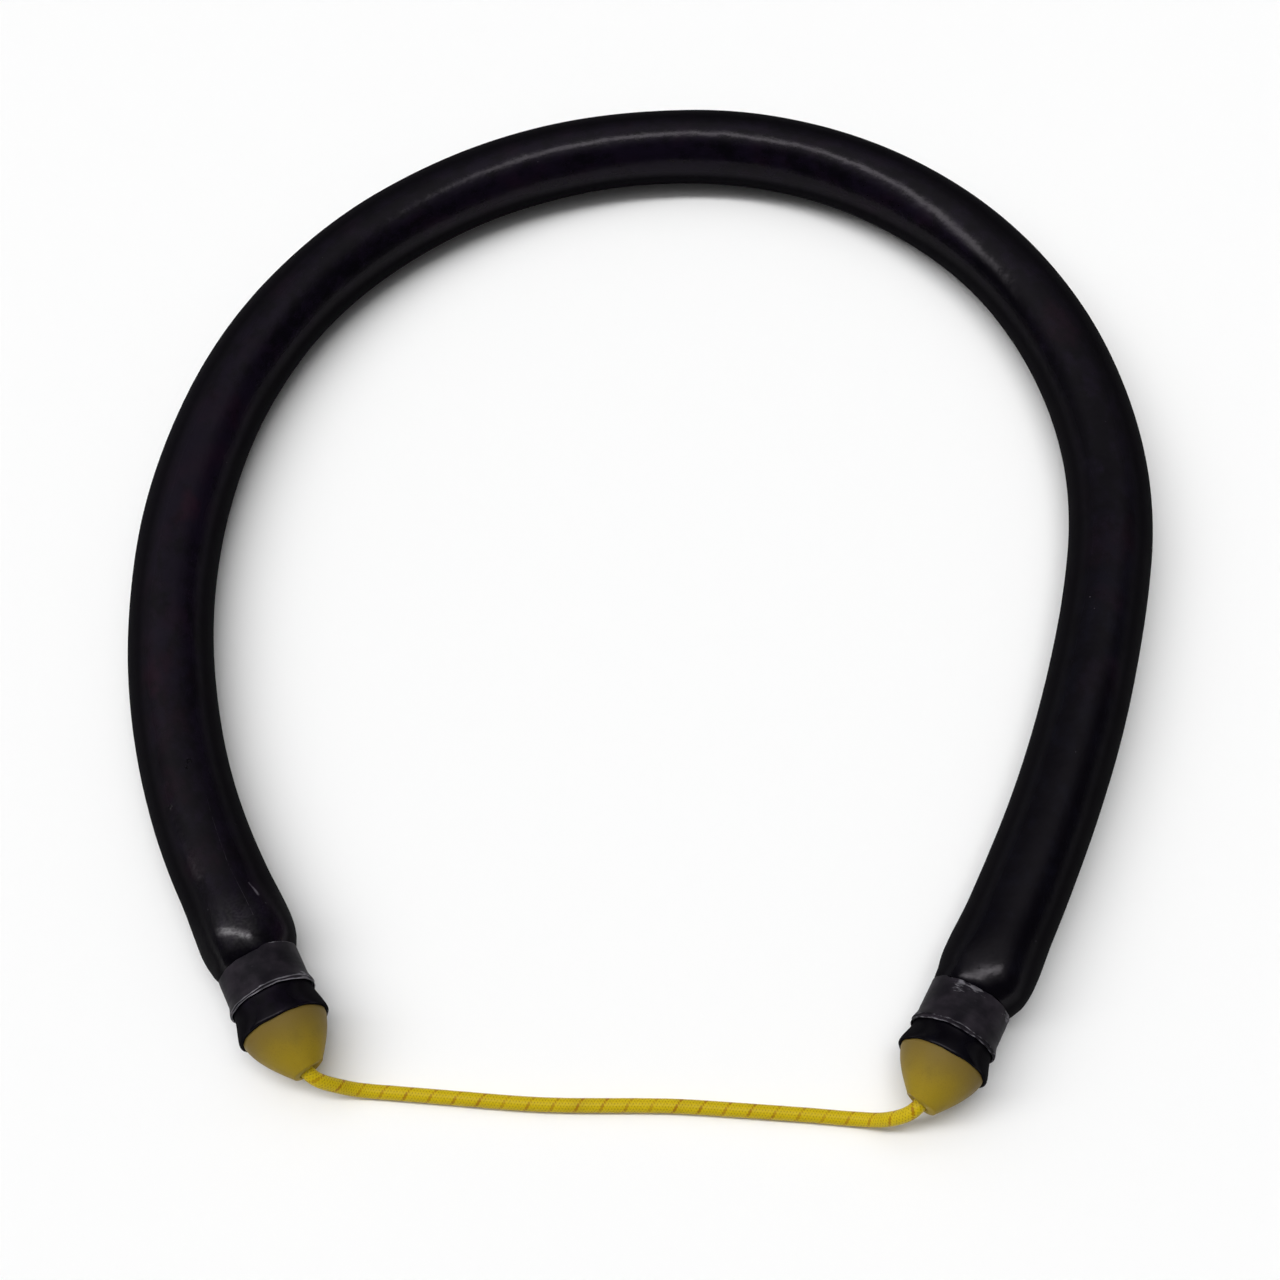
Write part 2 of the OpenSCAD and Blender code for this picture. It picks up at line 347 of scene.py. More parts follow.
@dataclass(frozen=True)
class RubberFinish(Finish):
    """Black tube rubber: cloudy wear, faint stains, extrusion lines, specks, pits and scratches.

    The wear turns cooler along a stretch of the tube. Toward glancing angles the gloss blurs, then
    gives way to a dull surface: dulling is where that starts and ends, and its share.
    """

    name: str = Slot.RUBBER.value
    body: Colour = tone(4, 3, 7)
    worn: Colour = tone(13, 8, 20)
    cool: Colour = tone(7, 8, 15)
    cooler: tuple[float, float] = (0.37, 0.46)
    stain: Colour = tone(28, 9, 22)
    dull: Colour = tone(9, 8, 11)
    dulling: tuple[float, float, float] = (0.20, 0.46, 0.85)
    blurring: tuple[float, float] = (0.18, 0.42)
    raggedness: float = 2.6
    speck: Colour = tone(88, 84, 90)
    scratch: Colour = tone(96, 92, 100)
    scratches: tuple[Scratch, ...] = (
        Scratch((0.0440, 1.95), (0.0290, 1.87), 0.00011, 0.14),
        Scratch((0.0290, 1.87), (0.0184, 1.91), 0.00012, 0.17),
        Scratch((0.0247, 2.11), (0.0221, 2.20), 0.00040, 1.0),
        Scratch((0.0202, 2.27), (0.0199, 2.30), 0.00030, 0.8),
    )
    stains: tuple[Spot, ...] = (
        Spot((0.0712, 1.36), 0.0062, 0.60),
        Spot((0.0790, 1.15), 0.0050, 0.28),
        Spot((0.1080, 1.90), 0.0044, 0.70),
        Spot((0.1340, 2.10), 0.0060, 0.30),
        Spot((0.0600, 1.25), 0.0060, 0.28),
        Spot((0.0470, 1.15), 0.0050, 0.32),
        Spot((0.0325, 1.22), 0.0048, 0.32),
        Spot((0.3680, 1.76), 0.0070, 0.34),
        Spot((0.4232, 1.66), 0.0070, 0.26),
    )
    pocks: tuple[Spot, ...] = (
        Spot((0.0442, 1.10), 0.00050, 1.0),
        Spot((0.0517, 1.80), 0.00055, 1.0),
        Spot((0.0505, 1.70), 0.00030, 1.0),
    )

    def shader(self, g: Graph) -> Wire:
        """Builds the shader.

        Args:
            g: The material's graph.

        Returns:
            The shader.
        """
        lay = g.attribute("lay")
        cloud = g.noise(lay, 0.030, 4, (2.5, 1, 1))
        patch = g.noise(lay, 0.010, 4)
        mottle = g.noise(lay, 0.0035, 3, (1.6, 1, 1))
        grain = g.noise(lay, 0.00035, 2)
        lines = g.noise(lay, 0.0009, 3, (30, 1, 1))
        dust = g.specks(lay, 0.0026, 0.16, 0.00016)
        pits = g.specks(lay, 0.0047, 0.22, 0.00034)
        marks = self.marks(g)
        stretched = g.attribute("stretched", "Fac")
        crackle = g.noise(lay, 0.0006, 3, (0.6, 1, 1)).rise(0.35, 0.65)
        bloom = g.noise(lay, 0.0016, 3, (1.4, 1, 1))
        worn = g.mix(g.part(lay, "X").rise(*self.cooler) * 0.8, self.worn, self.cool)
        wear = (0.4 * cloud + 0.4 * mottle + 0.2 * bloom).rise(0.42, 0.60)
        colour = g.mix(wear, self.body, worn)
        blush = patch.rise(0.48, 0.66) * mottle.rise(0.25, 0.60) * cloud.rise(0.40, 0.55)
        stained = self.spots(g, self.stains, mottle) * (0.5 + 0.5 * bloom.rise(0.35, 0.60))
        colour = g.mix((blush * 0.25).most(stained), colour, self.stain)
        pocks = self.spots(g, self.pocks, grain)
        pits = pits.most(pocks)
        colour = g.mix(pits, colour, self.body)
        colour = g.mix(dust * 0.45, colour, self.speck)
        colour = g.mix(marks * 0.8, colour, self.scratch)
        facing = g.node("ShaderNodeLayerWeight", None, {"Blend": 0.5}, "Facing")
        blur = facing.rise(*self.blurring) * 0.34
        relief = grain * 0.006 + lines * 0.008 + mottle * 0.08 + patch * 0.22
        normal = g.bump(relief - pits * 0.05 - marks * 0.03 - pocks * 0.35)
        gloss = principled(
            g,
            Base_Color=colour,
            Roughness=0.10 + 0.14 * mottle + 0.06 * patch + 0.2 * marks + blur,
            Specular_IOR_Level=0.11,
            Coat_Weight=stretched * (0.06 + 0.26 * crackle),
            Coat_Roughness=0.16,
            Specular_Tint=(0.99, 0.92, 1.0, 1.0),
            Normal=normal,
        )
        flat = {"Base_Color": self.dull, "Roughness": 0.6, "Specular_IOR_Level": 0.0}
        dull = principled(g, Normal=normal, **flat)
        start, full, most = self.dulling
        glancing = facing.rise(start, full) * most
        return g.node("ShaderNodeMixShader", None, {0: glancing, 1: gloss, 2: dull})

    def spots(self, g: Graph, places: tuple[Spot, ...], ragged: Wire) -> Wire:
        """Round marks with uneven edges.

        Args:
            g: The graph.
            places: Where they are.
            ragged: What their edges follow.

        Returns:
            Each mark's strength on it and 0 off it.
        """
        at = g.unrolled()
        found: Wire | float = 0.0
        for spot in places:
            centre = (spot.at[0], spot.at[1] * Loop.tube_radius, 0)
            away = g.vector("DISTANCE", at, centre, "Value") * (1 / spot.radius)
            away = away + self.raggedness * (ragged - 0.5)
            found = (away.rise(1.0, 0.1) * spot.strength).most(found)
        return found

    def marks(self, g: Graph) -> Wire:
        """The scratches.

        Args:
            g: The graph.

        Returns:
            1 in a scratch and 0 off it.
        """
        at = g.unrolled()
        ragged = g.noise(g.attribute("lay"), 0.0009, 3)
        found: Wire | float = 0.0
        for mark in self.scratches:
            ends = (mark.start, mark.end)
            start, end = (np.array((p[0], p[1] * Loop.tube_radius, 0)) for p in ends)
            run = end - start
            from_start = g.vector("SUBTRACT", at, tuple(start))
            along = g.vector("DOT_PRODUCT", from_start, tuple(run / (run @ run)), "Value")
            held = g.node("ShaderNodeClamp", None, {"Value": along}, "Result")
            scale = {0: tuple(run), "Scale": held}
            nearest = g.node("ShaderNodeVectorMath", {"operation": "SCALE"}, scale, "Vector")
            away = g.vector("DISTANCE", from_start, nearest, "Value")
            away = away + (1.0 - held) * (0.55 * mark.width)
            line = away.rise(mark.width, 0.2 * mark.width) * ragged.rise(0.34, 0.60)
            found = (line * mark.strength).most(found)
        return found


@dataclass(frozen=True)
class NylonFinish(Finish):
    """Matt translucent plug nylon, warmer toward the tip; greyer by the rim in its own tone, and
    darker there with painted shade from the tube's lip.
    """

    name: str = Slot.NYLON.value
    tip: Colour = tone(150, 127, 32)
    # rim: the nylon's greyer tone by the lip, darkened further as painted shade from the tube's
    # lip
    rim: Colour = tone(117, 98, 47)
    blotch: Colour = tone(108, 90, 34)

    def shader(self, g: Graph) -> Wire:
        """Builds the shader.

        Args:
            g: The material's graph.

        Returns:
            The shader.
        """
        lay = g.attribute("lay")
        along = g.part(lay, "X")
        cloud = g.noise(lay, 0.005, 4)
        grain = g.noise(lay, 0.00030, 2)
        rings = g.noise(lay, 0.0005, 2, (1, 60, 60))
        # partly painted shade: toward the lip the colour goes to the darker rim tone
        colour = g.mix((along + 0.0022 * cloud).rise(-0.0065, 0.0008), self.tip, self.rim)
        colour = g.mix(cloud.rise(0.50, 0.80) * 0.45, colour, self.blotch)
        colour = g.mix(g.noise(lay, 0.00022, 2).rise(0.48, 0.75) * 0.30, colour, self.blotch)
        colour = g.mix(g.specks(lay, 0.0011, 0.25, 0.00008) * 0.35, colour, self.blotch)
        return principled(
            g,
            Base_Color=colour,
            Roughness=0.42 + 0.12 * cloud + 0.06 * grain,
            Subsurface_Weight=0.22,
            Subsurface_Radius=(1.0, 0.75, 0.25),
            Subsurface_Scale=0.0012,
            Specular_IOR_Level=0.08,
            Normal=g.bump(grain * 0.010 + rings * 0.006 + cloud * 0.05),
        )


@dataclass(frozen=True)
class TapeFinish(Finish):
    """Dull black binding tape with a pale rubbed edge."""

    name: str = Slot.TAPE.value
    face: Colour = tone(43, 39, 45)
    dark: Colour = tone(22, 20, 25)
    edge: Colour = tone(124, 122, 128)

    def shader(self, g: Graph) -> Wire:
        """Builds the shader.

        Args:
            g: The material's graph.

        Returns:
            The shader.
        """
        lay = g.attribute("lay")
        edge = g.attribute("edge", "Fac")
        cloud = g.noise(lay, 0.004, 4)
        fine = g.noise(lay, 0.0004, 3)
        pull = g.noise(lay, 0.0011, 3, (6, 1, 1))
        shreds = g.noise(lay, 0.00034, 3, (3, 1, 1))
        rubbed = (edge * 1.25 + 2.2 * (shreds - 0.5)).rise(0.45, 1.00)
        rubbed = rubbed * (0.35 + 0.65 * cloud.rise(0.35, 0.62))
        colour = g.mix(cloud.rise(0.35, 0.70), self.dark, self.face)
        colour = g.mix(rubbed, colour, self.edge)
        return principled(
            g,
            Base_Color=colour,
            Roughness=0.44 + 0.14 * cloud,
            Specular_IOR_Level=0.04,
            Normal=g.bump(fine * 0.014 + pull * 0.006 + cloud * 0.12 + rubbed * 0.03),
        )


@dataclass(frozen=True)
class CordFinish(Finish):
    """Silky yellow braid with one brown tracer strand, and painted shade in the grooves between
    its strands.
    """

    name: str = Slot.CORD.value
    # crown is the braid's own yellow; groove is painted shade for the grooves between the strands
    crown: Colour = tone(204, 178, 18)
    groove: Colour = tone(134, 108, 4)
    tracer: Colour = tone(156, 108, 4)
    soil: Colour = tone(150, 124, 30)

    def shader(self, g: Graph) -> Wire:
        """Builds the shader.

        Args:
            g: The material's graph.

        Returns:
            The shader.
        """
        lay = g.attribute("lay")
        height = g.attribute("height", "Fac")
        tracer = g.attribute("tracer", "Fac")
        fibre = g.noise(lay, 0.00012, 2, (4, 1, 1))
        cloud = g.noise(lay, 0.006, 3)
        # painted shade: the braid is painted darker where its height is low, in the grooves
        # between strands
        colour = g.mix(height.rise(0.05, 0.75), self.groove, self.crown)
        colour = g.mix(cloud.rise(0.50, 0.80) * 0.35, colour, self.soil)
        colour = g.mix(fibre.rise(0.35, 0.75) * 0.12, colour, self.groove)
        colour = g.mix(tracer * (0.50 + 0.45 * cloud.rise(0.35, 0.60)), colour, self.tracer)
        return principled(
            g,
            Base_Color=colour,
            Roughness=0.36 + 0.14 * fibre,
            Specular_IOR_Level=0.14,
            Normal=g.bump(fibre * 0.012 + height * 0.02),
        )


@dataclass(frozen=True)
class ThreadFinish(Finish):
    """Twisted fibre for the hidden pieces: waxed twine, or the cord inside the plugs."""

    name: str
    light: Colour
    dark: Colour
    twist: float = 0.0006

    def shader(self, g: Graph) -> Wire:
        """Builds the shader.

        Args:
            g: The material's graph.

        Returns:
            The shader.
        """
        at = g.node("ShaderNodeTexCoord", None, None, "Object")
        strand = g.noise(at, self.twist, 3, (1, 2, 1))
        cloud = g.noise(at, 0.004, 2)
        return principled(
            g,
            Base_Color=g.mix(strand.rise(0.35, 0.65) * (0.6 + 0.4 * cloud), self.dark, self.light),
            Roughness=0.50 + 0.2 * strand,
            Normal=g.bump(strand * 0.08),
        )


@dataclass(frozen=True)
class FloorFinish(Finish):
    """Plain pale paper."""

    name: str = "floor_paper"
    colour: Colour = tone(253, 253, 253)

    def shader(self, g: Graph) -> Wire:
        """Builds the shader in a graph."""
        return principled(g, Base_Color=self.colour, Roughness=0.9, Specular_IOR_Level=0.0)


def skin(
    name: str,
    grid: np.ndarray,
    closed: bool,
    values: dict[str, np.ndarray],
    unrolled: tuple[np.ndarray, np.ndarray] | None = None,
) -> bpy.types.Object:
    """A closed smooth mesh over rings of points.

    Args:
        name: The piece's name.
        grid: Points as rings by points round a ring by 3.
        closed: True if the last ring joins the first, and False for a cap on each end.
        values: What each point stores, by name, as rings by points, with 3 more for a vector.
        unrolled: A flat map of the skin: each ring's place along it, and each point's round it.

    Returns:
        The object.
    """
    rings, count = grid.shape[:2]
    i, j = np.meshgrid(np.arange(rings if closed else rings - 1), np.arange(count), indexing="ij")
    i2, j2 = (i + 1) % rings, (j + 1) % count
    on_ring, round_ring = (i, i2, i2, i), (j, j, j2, j2)
    corners = np.stack([r * count + p for r, p in zip(on_ring, round_ring)], -1).reshape(-1, 4)
    points = grid.reshape(-1, 3)
    a, b, c, d = (points[corners[:, k]] - points.mean(0) for k in range(4))
    inside_out = (np.cross(a, b) * c).sum() + (np.cross(a, c) * d).sum() < 0
    if inside_out:
        corners = corners[:, ::-1]
    faces = corners.tolist()
    if not closed:
        ends = [list(range(count)), list(range((rings - 1) * count, rings * count))]
        faces += [ends[0][::-1], ends[1]] if inside_out else [ends[0], ends[1][::-1]]
    mesh = bpy.data.meshes.new(name)
    mesh.from_pydata(points.tolist(), [], faces)
    for key, value in values.items():
        kind, part = ("FLOAT_VECTOR", "vector") if value.ndim == 3 else ("FLOAT", "value")
        stored = mesh.attributes.new(key, kind, "POINT")
        stored.data.foreach_set(part, value.astype(np.float32).ravel())
    if unrolled is not None:
        along = np.stack([unrolled[0][r] for r in on_ring], -1)
        past_seam = np.stack([unrolled[1][p] for p in (j, j, j + 1, j + 1)], -1)
        flat = np.stack([along.reshape(-1, 4), past_seam.reshape(-1, 4)], -1)
        flat = flat[:, ::-1] if inside_out else flat
        mesh.uv_layers.new(name="unrolled").data.foreach_set("uv", flat.astype(np.float32).ravel())
    mesh.polygons.foreach_set("use_smooth", np.ones(len(mesh.polygons), bool))
    mesh.validate()
    mesh.update()
    made = bpy.data.objects.new(name, mesh)
    bpy.context.scene.collection.objects.link(made)
    return made


def dress(piece: bpy.types.Object, material: bpy.types.Material) -> None:
    """Gives a piece its material."""
    piece.data.materials.append(material)


@dataclass(frozen=True)
class Bend:
    """One bend of the loop: its radius, and how far it turns in degrees."""

    radius: float
    turn: float

    @property
    def length(self) -> float:
        """Length along the bend."""
        return self.radius * math.radians(self.turn)


@dataclass
class Loop:
    """The tube's middle line, from the left lip over the crown to the right lip."""

    left: tuple[Bend, ...] = (Bend(0.100, 74), Bend(0.140, 26), Bend(0.150, 17))
    right: tuple[Bend, ...] = (Bend(0.080, 62), Bend(0.100, 39), Bend(0.270, 17))
    straight: float = 0.030
    nose: float = 0.009
    nose_radius: float = 0.0028
    tube_radius: float = 0.008
    height: float = 0.0084
    low_height: float = 0.00808
    sinking: tuple[float, float] = (0.024, 0.060)

    def __post_init__(self) -> None:
        """Lays the stretches end to end from the left lip."""
        bends = [(1 / b.radius, b.length) for b in (*reversed(self.left), *self.right)]
        self.stretches = [(0.0, self.straight), *bends, (0.0, self.straight)]
        self.length = sum(length for _, length in self.stretches)
        crown = self.straight + sum(b.length for b in self.left)
        self.start = np.zeros(2)
        self.heading = math.radians(sum(b.turn for b in self.left))
        flat, _ = self.walk(np.array([crown]))
        self.start = self.crown() - flat[0]

    def crown(self) -> np.ndarray:
        """Where the line is furthest toward +Y, with the loop's box centred on the origin.

        Returns:
            The flat place.
        """
        sideways, lows = [], []
        for bends in (self.left, self.right):
            turned, reach, drop = 0.0, 0.0, 0.0
            for bend in bends:
                before, after = math.radians(turned), math.radians(turned + bend.turn)
                far, near = (math.sin(min(turn, math.pi / 2)) for turn in (after, before))
                reach += bend.radius * (far - near)
                drop += bend.radius * (math.cos(after) - math.cos(before))
                turned += bend.turn
            out = math.radians(turned)
            end = drop - (self.straight + self.nose) * math.sin(out)
            sideways.append(reach)
            lows.append(end - self.nose_radius * abs(math.cos(out)))
        return np.array([(sideways[0] - sideways[1]) / 2, -(self.tube_radius + min(lows)) / 2])

    def walk(self, s: np.ndarray) -> tuple[np.ndarray, np.ndarray]:
        """Places and headings along the line, which runs on straight past both lips.

        Args:
            s: Distances from the left lip.

        Returns:
            Flat places, and headings in radians from +X.
        """
        place, heading, done = self.start, self.heading, 0.0
        flat, turned = np.zeros((len(s), 2)), np.zeros(len(s))
        for curve, length in self.stretches:
            u = np.append(s - done, length)
            turn = heading - curve * u
            step = u[:, None] * np.array([math.cos(heading), math.sin(heading)])
            if curve:
                right, up = np.sin(heading) - np.sin(turn), np.cos(turn) - np.cos(heading)
                step = np.stack([right, up], 1) / curve
            here = (s >= done) | (done == 0)
            flat[here], turned[here] = place + step[:-1][here], turn[:-1][here]
            place, heading, done = place + step[-1], float(turn[-1]), done + length
        return flat, turned

    def sample(self, s: np.ndarray, sinks: bool = True) -> tuple[np.ndarray, np.ndarray]:
        """Points on the line and the way to the loop's outside.

        Args:
            s: Distances from the left lip.
            sinks: True where the line comes down until the plain tube rests on the floor.

        Returns:
            Points and unit vectors, both with 3 numbers.
        """
        flat, heading = self.walk(s)
        share = ease(self.from_lip(s), *self.sinking) if sinks else 0 * s
        points = np.column_stack([flat, self.height - (self.height - self.low_height) * share])
        return points, np.column_stack([-np.sin(heading), np.cos(heading), np.zeros(len(s))])

    def from_lip(self, s: np.ndarray) -> np.ndarray:
        """Distances from the nearer lip, for distances along the line."""
        return np.minimum(s, self.length - s)

    def at(self, side: Side, t: np.ndarray) -> np.ndarray:
        """Distance along the line of a place that is t past a side's lip, into the tube."""
        return t if side is Side.LEFT else self.length - t

    def tip(self, side: Side, t: float) -> tuple[Vector, Vector]:
        """A point on a plug's axis at a distance from the lip, and the way out of the tube."""
        here, further = self.sample(self.at(side, np.array([t, t - MM])), False)[0]
        return Vector(here), Vector(further - here).normalized()

    def sweep(
        self, s: np.ndarray, radii: np.ndarray, angles: np.ndarray, sinks: bool = True
    ) -> np.ndarray:
        """Rings of points round the line.

        Args:
            s: Each ring's distance along, or each point's.
            radii: Each point's distance from the line, rings by points.
            angles: Each point's angle round the line, for one ring or for all.
            sinks: As for sample.

        Returns:
            Points, rings by points by 3.
        """
        s_all = np.broadcast_to(s if s.ndim == 2 else s[:, None], radii.shape)
        centre, out = self.sample(s_all.ravel(), sinks)
        shape = (*radii.shape, 3)
        centre, out = centre.reshape(shape), out.reshape(shape)
        up = np.array([0.0, 0.0, 1.0])
        round_ = np.broadcast_to(angles, radii.shape)[..., None]
        return centre + radii[..., None] * (out * np.cos(round_) + up * np.sin(round_))


@dataclass(frozen=True)
class EndShape:
    """One bound end of the tube and its tape, by distance from the lip.

    A fray is the angle that it is at, half its width as an angle, 1 for the tape's edge by the
    bulge or -1 for the edge by the lip, and how much of the tape's half width it runs across.
    """

    collar_at: float
    tape_low: float
    tape_high: float
    tape_drift: float
    lean: float
    pucker_turn: float
    tape_end: float
    step_at: float
    rubbing: tuple[float, float]
    frays: tuple[tuple[float, float, int, float], ...]
    nose: float
    nose_lean: float
    sheen: float
    neck_run: float = 0.0021
    neck_end: float = 0.0116
    bulge_start: float = 0.0125
    bulge_at: float = 0.0192


ENDS = {
    Side.LEFT: EndShape(
        collar_at=0.0054,
        tape_low=0.0056,
        tape_high=0.0124,
        tape_drift=0.00030,
        lean=-0.00030,
        pucker_turn=0.0,
        tape_end=4.9,
        step_at=1.80,
        rubbing=(1.0, 0.25),
        frays=((2.65, 0.20, -1, 0.24), (2.45, 0.45, 1, 0.05)),
        nose=0.0088,
        nose_lean=0.0009,
        sheen=1.0,
    ),
    Side.RIGHT: EndShape(
        collar_at=0.0045,
        tape_low=0.0047,
        tape_high=0.0122,
        tape_drift=0.00036,
        lean=0.00050,
        pucker_turn=2.1,
        tape_end=4.5,
        step_at=2.35,
        rubbing=(0.55, 0.30),
        frays=((1.95, 0.17, 1, 0.40), (1.62, 0.30, 1, 0.22), (0.40, 0.22, 1, 0.32)),
        nose=0.0083,
        nose_lean=0.0003,
        sheen=0.25,
    ),
}


@dataclass
class Tube:
    """The rubber tube: one closed skin, with a collar, neck and bulge at each end.

    The lip is rounded through points by distance and height over its edge. Inside, the bore
    narrows over the plug's groove (throat) and widens over its barb (seat), each given by where it
    starts, where it ends and its radius.
    """

    loop: Loop
    bore: float = 0.005
    bore_slack: float = 0.00004
    lip_outer: float = 0.00805
    lip_inner: float = 0.00745
    lip: tuple[tuple[float, float], ...] = (
        (0.00012, -0.00004), (0.00002, -0.00014), (0.0, -0.00026),
    )
    lip_round: float = 0.00012
    rim_end: float = 0.00155
    throat: tuple[float, float, float] = (0.00745, 0.01205, 0.00365)
    seat: tuple[float, float, float] = (0.014, 0.017, 0.0058)
    seat_end: float = 0.020
    collar: float = 0.0071
    neck: float = 0.00555
    bulge_start_radius: float = 0.0066
    bulge: float = 0.0084
    bulge_round: float = 0.62
    plain_at: float = 0.030
    lip_waves: Waves = ((0.00013, 2, 0.7), (0.00007, 5, 2.0), (0.00004, 11, 0.0))
    lip_waves_end: float = 0.0022
    slow_waves: tuple[Span, ...] = (
        (0.061, 1, 0.3, 0.035), (0.043, 2, 1.9, 0.030),
        (0.097, 2, 4.0, 0.040), (0.029, 3, 0.8, 0.014),
    )
    puckers: tuple[float, float] = (0.12, 0.06)
    pucker_span: Span = (0.0126, 0.0150, 0.0160, 0.024)
    lean_span: Span = (0.0126, 0.0160, 0.0200, 0.045)
    sheen_span: Span = (0.0115, 0.0135, 0.0185, 0.026)
    points_round: int = 96
    rings_inside: int = 80
    end_spacing: float = 0.0003
    body_spacing: float = 0.0012

    def outside(self, t: np.ndarray, end: EndShape) -> np.ndarray:
        """Radius of the outside.

        Args:
            t: Distances from the nearer lip.
            end: The shape of that end.

        Returns:
            Radii.
        """
        neck_at = end.collar_at + end.neck_run
        flare = self.lip_outer + (self.collar - self.lip_outer) * ease(t, 0, end.collar_at)
        neck = self.neck + (self.collar - self.neck) * ease(-t, -neck_at, -end.collar_at)
        rise = ease(t, end.neck_end, end.bulge_start)
        rise = self.neck + (self.bulge_start_radius - self.neck) * rise
        share = np.clip((t - end.bulge_start) / (end.bulge_at - end.bulge_start), 0, 1)
        swell = np.sin(share * math.pi / 2) ** self.bulge_round
        swell = self.bulge_start_radius + (self.bulge - self.bulge_start_radius) * swell
        plain = ease(t, end.bulge_at, self.plain_at)
        plain = self.bulge + (self.loop.tube_radius - self.bulge) * plain
        return np.select(
            [t < end.collar_at, t < end.neck_end, t < end.bulge_start, t < end.bulge_at],
            [flare, neck, rise, swell],
            plain,
        )

    def per_end(self, s: np.ndarray, name: str) -> np.ndarray:
        """What the nearer end's shape says under a name, for distances from the left lip."""
        left, right = (getattr(ENDS[side], name) for side in Side)
        return np.where(s < self.loop.length / 2, left, right)

    def uneven(self, s: np.ndarray, angles: np.ndarray) -> np.ndarray:
        """Departures from a true tube: slow waves, and puckers and a lean beside each binding.

        Args:
            s: Distances from the left lip.
            angles: Angles round the tube.

        Returns:
            Heights, rings by points.
        """
        s_, a = s[:, None], angles[None, :]
        t = self.loop.from_lip(s_)
        slow = sum(
            height * np.cos(2 * math.pi * s_ / length + lobes * a + start)
            for length, lobes, start, height in self.slow_waves
        )
        turn = self.per_end(s_, "pucker_turn")
        broad, narrow = self.puckers
        pucker = broad * np.cos(4 * a + 1.3 + turn) + narrow * np.cos(7 * a + 0.4 - turn)
        pucker = pucker * window(t, *self.pucker_span)
        leaning = self.per_end(s_, "lean") * np.cos(a) * window(t, *self.lean_span)
        return MM * (slow * ease(t, 0.014, self.plain_at) + pucker) + leaning

    def outer_rings(self, angles: np.ndarray) -> tuple[np.ndarray, np.ndarray]:
        """The outside from lip to lip.

        Args:
            angles: Angles round the tube.

        Returns:
            Each ring's distance from the left lip, and radii, rings by points.
        """
        length = self.loop.length
        end = np.arange(0.0004, self.plain_at, self.end_spacing)
        steps = int((length - 2 * self.plain_at) / self.body_spacing)
        middle = np.linspace(self.plain_at, length - self.plain_at, steps)
        s = np.concatenate([end, middle, length - end[::-1]])
        left, right = (self.outside(self.loop.from_lip(s), ENDS[side]) for side in Side)
        return s, np.where(s < length / 2, left, right)[:, None] + self.uneven(s, angles)

    def inner_profile(self) -> tuple[np.ndarray, np.ndarray]:
        """The inside from lip to lip.

        Returns:
            Each ring's distance from the left lip, and its radius.
        """
        end = np.array(
            [(0, self.lip_inner + self.lip_round)]
            + [(at, self.lip_inner) for at in (0.00010, 0.0008, self.rim_end)]
            + [(at, radius) for *span, radius in (self.throat, self.seat) for at in span]
            + [(self.seat_end, self.bore), (self.plain_at - 0.0005, self.bore)]
        )
        length = self.loop.length
        middle = np.linspace(0.036, length - 0.036, self.rings_inside)
        bore = np.full(self.rings_inside, self.bore + self.bore_slack)
        s = np.concatenate([end[:, 0], middle, length - end[::-1, 0]])
        return s, np.concatenate([end[:, 1], bore, end[::-1, 1]])

    def build(self, material: bpy.types.Material) -> bpy.types.Object:
        """Builds the tube.

        Args:
            material: Its rubber.

        Returns:
            The object.
        """
        angles = ring_angles(self.points_round, -math.pi / 2)
        length = self.loop.length
        s_out, r_out = self.outer_rings(angles)
        s_in, r_in = self.inner_profile()
        lip = np.array(self.lip)
        r_lip = self.lip_outer + lip[:, 1]
        r_lip, r_in = (np.repeat(r[:, None], len(angles), 1) for r in (r_lip, r_in))
        s = np.concatenate([lip[::-1, 0], s_out, length - lip[:, 0], s_in[::-1]])
        radii = np.concatenate([r_lip[::-1], r_out, r_lip, r_in[::-1]])
        t = self.loop.from_lip(s)
        shift = np.outer(ease(-t, -self.lip_waves_end, 0), ripple(angles, self.lip_waves))
        s_all = s[:, None] + shift * np.where(s < length / 2, 1, -1)[:, None]
        grid = self.loop.sweep(s_all, radii, angles)
        lay = laid_straight(s_all, radii[..., None] * spokes(angles))
        tight = window(t, *self.sheen_span) * self.per_end(s, "sheen")
        stretched = np.repeat(tight[:, None], len(angles), 1)
        round_ = np.append(angles, angles[0] + 2 * math.pi) * self.loop.tube_radius
        stores = {"lay": lay, "stretched": stretched}
        piece = skin("rubber_tube_skin", grid, True, stores, (s, round_))
        dress(piece, material)
        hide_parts("rubber_tube")
        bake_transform(piece)
        return piece


